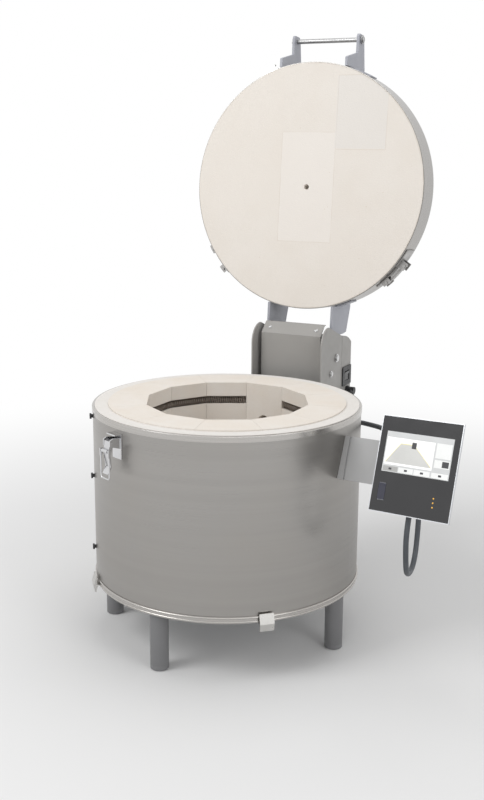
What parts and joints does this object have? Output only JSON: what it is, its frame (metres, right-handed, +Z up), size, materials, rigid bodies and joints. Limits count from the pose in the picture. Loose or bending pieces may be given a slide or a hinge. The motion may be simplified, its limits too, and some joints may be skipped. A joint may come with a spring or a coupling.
{
  "type": "top-loading kiln",
  "caption": "Round top-loading electric kiln on four legs with a hinged insulated lid, side latch, rear hinge unit and a tilted touch controller on an arm.",
  "frame": {"origin": "on the floor, under the middle of the whole part with its lid open", "axes": "+Z up, -Y towards the front, +X towards the controller's side"},
  "size_m": [0.6969, 0.7189, 1.0861],
  "materials": {
    "stainless": "brushed",
    "galvanised": "satin",
    "zinc_clips": "satin",
    "board": "matte",
    "firebrick": "matte",
    "fibre": "matte",
    "lid_firebrick": "matte",
    "coil_wire": "oxidised",
    "probe": "matte",
    "grey_paint": "satin",
    "black_plastic": "satin",
    "black_knob": "satin",
    "arm_paint": "satin",
    "bright_steel": "bright",
    "latch_chrome": "polished",
    "rocker": "gloss",
    "panel_frame": "satin",
    "screen_glass": "gloss",
    "flap_plastic": "satin",
    "housing_paint": "satin",
    "cable_sheath": "matte"
  },
  "bodies": {
    "kiln": {"jacket": "stainless", "top_rim": "stainless", "bottom_rim": "stainless", "floor_pan": "galvanised", "floor_board": "board", "floor_brick": "firebrick", "insulation_ring": "fibre", "wall_brick_01": "firebrick", "wall_brick_02": "firebrick", "wall_brick_03": "firebrick", "wall_brick_04": "firebrick", "wall_brick_05": "firebrick", "wall_brick_06": "firebrick", "wall_brick_07": "firebrick", "wall_brick_08": "firebrick", "wall_brick_09": "firebrick", "wall_brick_10": "firebrick", "wall_brick_11": "firebrick", "wall_brick_12": "firebrick", "heating_coil_1": "coil_wire", "heating_coil_2": "coil_wire", "heating_coil_3": "coil_wire", "thermocouple": "probe", "leg_front": "grey_paint", "leg_right": "grey_paint", "leg_left": "grey_paint", "leg_back": "grey_paint", "foot_caps": "black_plastic", "bottom_clips": "zinc_clips", "seam_knobs": "black_knob", "hinge_plate_left": "arm_paint", "hinge_plate_right": "arm_paint", "hinge_cover": "arm_paint", "hinge_shaft": "bright_steel", "stop_rod": "bright_steel", "rear_box": "arm_paint", "switch_frame": "black_plastic", "cable_gland": "black_plastic", "mains_inlet": "black_plastic", "latch_base": "latch_chrome", "controller_panel": "panel_frame", "controller_glass": "screen_glass", "controller_housing": "housing_paint", "controller_gland": "black_plastic", "controller_arm": "housing_paint", "arm_bracket": "housing_paint", "control_cable": "cable_sheath"},
    "lid": {"lid_brick": "lid_firebrick", "lid_band": "stainless", "lid_cover": "stainless", "arm_left": "arm_paint", "arm_right": "arm_paint", "handle_bar": "bright_steel", "band_clamp_left": "bright_steel", "band_clamp_right": "bright_steel", "latch_keeper": "bright_steel"},
    "latch_lever": {"latch_lever": "latch_chrome"},
    "latch_bail": {"latch_bail": "latch_chrome"},
    "switch_rocker": {"switch_rocker": "rocker"},
    "usb_flap": {"usb_flap": "flap_plastic"}
  },
  "joints": [
    {"name": "lid_hinge", "type": "hinge", "parent": "kiln", "child": "lid", "pos_m": [-0.1062, 0.23, 0.4508], "axis": [1, 0, 0], "range_deg": [0, 95.3]},
    {"name": "latch_lever_pivot", "type": "hinge", "parent": "kiln", "child": "latch_lever", "pos_m": [-0.20455, -0.34544, 0.394], "axis": [-0.9239, 0.3827, 0], "range_deg": [0, 140]},
    {"name": "latch_bail_pivot", "type": "hinge", "parent": "latch_lever", "child": "latch_bail", "pos_m": [-0.20753, -0.35264, 0.381], "axis": [0.9239, -0.3827, 0], "range_deg": [-165, 0]},
    {"name": "switch_rock", "type": "hinge", "parent": "kiln", "child": "switch_rocker", "pos_m": [-0.03195, 0.29, 0.404], "axis": [0, -1, 0], "range_deg": [0, 14]},
    {"name": "usb_flap_hinge", "type": "hinge", "parent": "kiln", "child": "usb_flap", "pos_m": [0.22262, -0.21792, 0.32367], "axis": [0.9772, -0.2069, 0.0469], "range_deg": [0, 100]}
  ]
}
